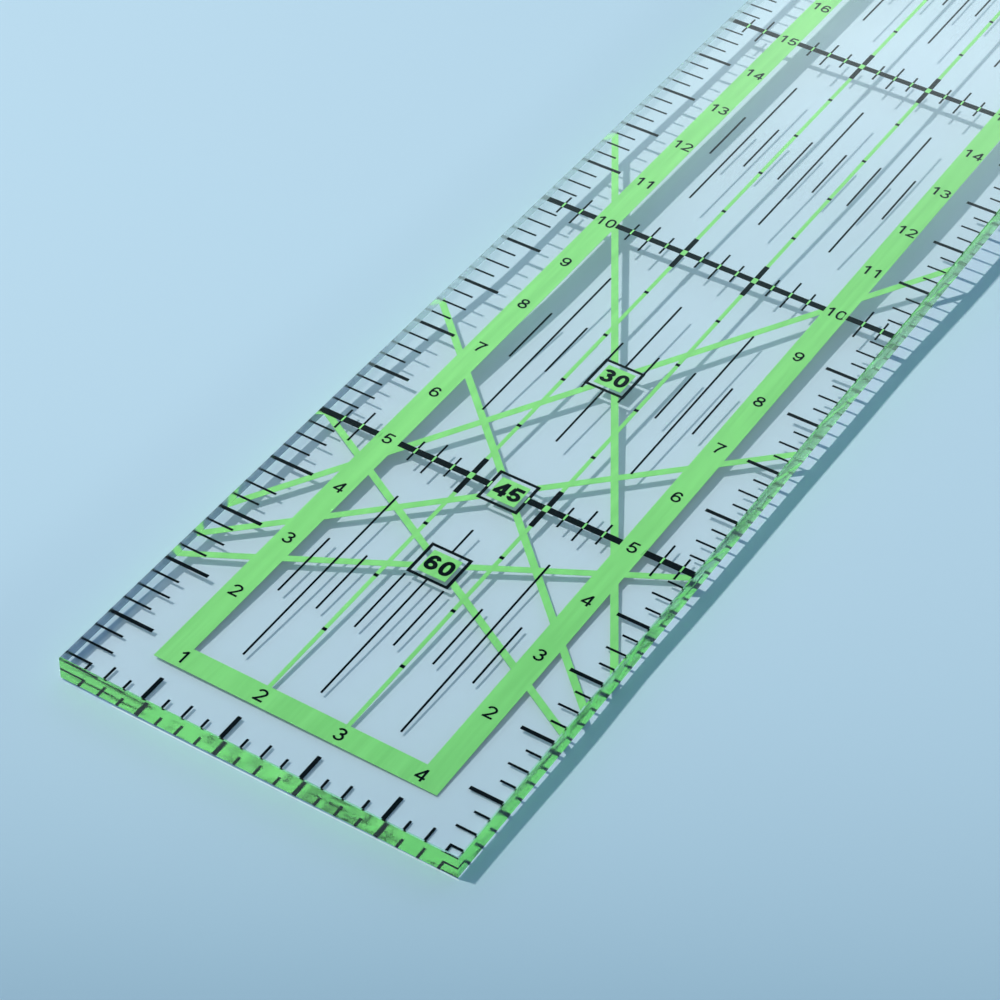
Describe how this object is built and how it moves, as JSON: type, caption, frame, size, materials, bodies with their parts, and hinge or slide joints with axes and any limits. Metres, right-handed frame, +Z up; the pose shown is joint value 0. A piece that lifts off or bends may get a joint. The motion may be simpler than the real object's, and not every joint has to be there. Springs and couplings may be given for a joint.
{
  "type": "quilting ruler",
  "caption": "Clear acrylic strip ruler for quilting, printed on its underside with a centimetre grid and 30, 45 and 60 degree angle lines.",
  "frame": {"origin": "centre of the rectangle that the ruler rests on, at the lowest face of the print", "axes": "+X across the ruler, from the left edge to the right as its numerals read; +Y along it, from the numbered end to the far end; +Z up through the plate, away from the print"},
  "size_m": [0.0496, 0.2996, 0.0031],
  "materials": {
    "clear_acrylic": "clear and glossy, with cut edges that pick up the green of the print",
    "green_ink": "opaque bright green screen-printing ink",
    "black_ink": "opaque black screen-printing ink"
  },
  "bodies": {
    "root": {"acrylic_plate": "clear_acrylic", "green_print": "green_ink", "label_patch_60": "green_ink", "label_patch_45": "green_ink", "label_patch_30": "green_ink", "label_frame_60": "black_ink", "label_frame_45": "black_ink", "label_frame_30": "black_ink", "cross_line_05_left": "black_ink", "cross_line_05_middle_left": "black_ink", "cross_line_05_middle_right": "black_ink", "cross_line_05_right": "black_ink", "cross_line_10_left": "black_ink", "cross_line_10_middle": "black_ink", "cross_line_10_right": "black_ink", "cross_line_15_left": "black_ink", "cross_line_15_middle": "black_ink", "cross_line_15_right": "black_ink", "cross_line_20_left": "black_ink", "cross_line_20_middle": "black_ink", "cross_line_20_right": "black_ink", "cross_line_25_left": "black_ink", "cross_line_25_middle": "black_ink", "cross_line_25_right": "black_ink"}
  },
  "joints": []
}
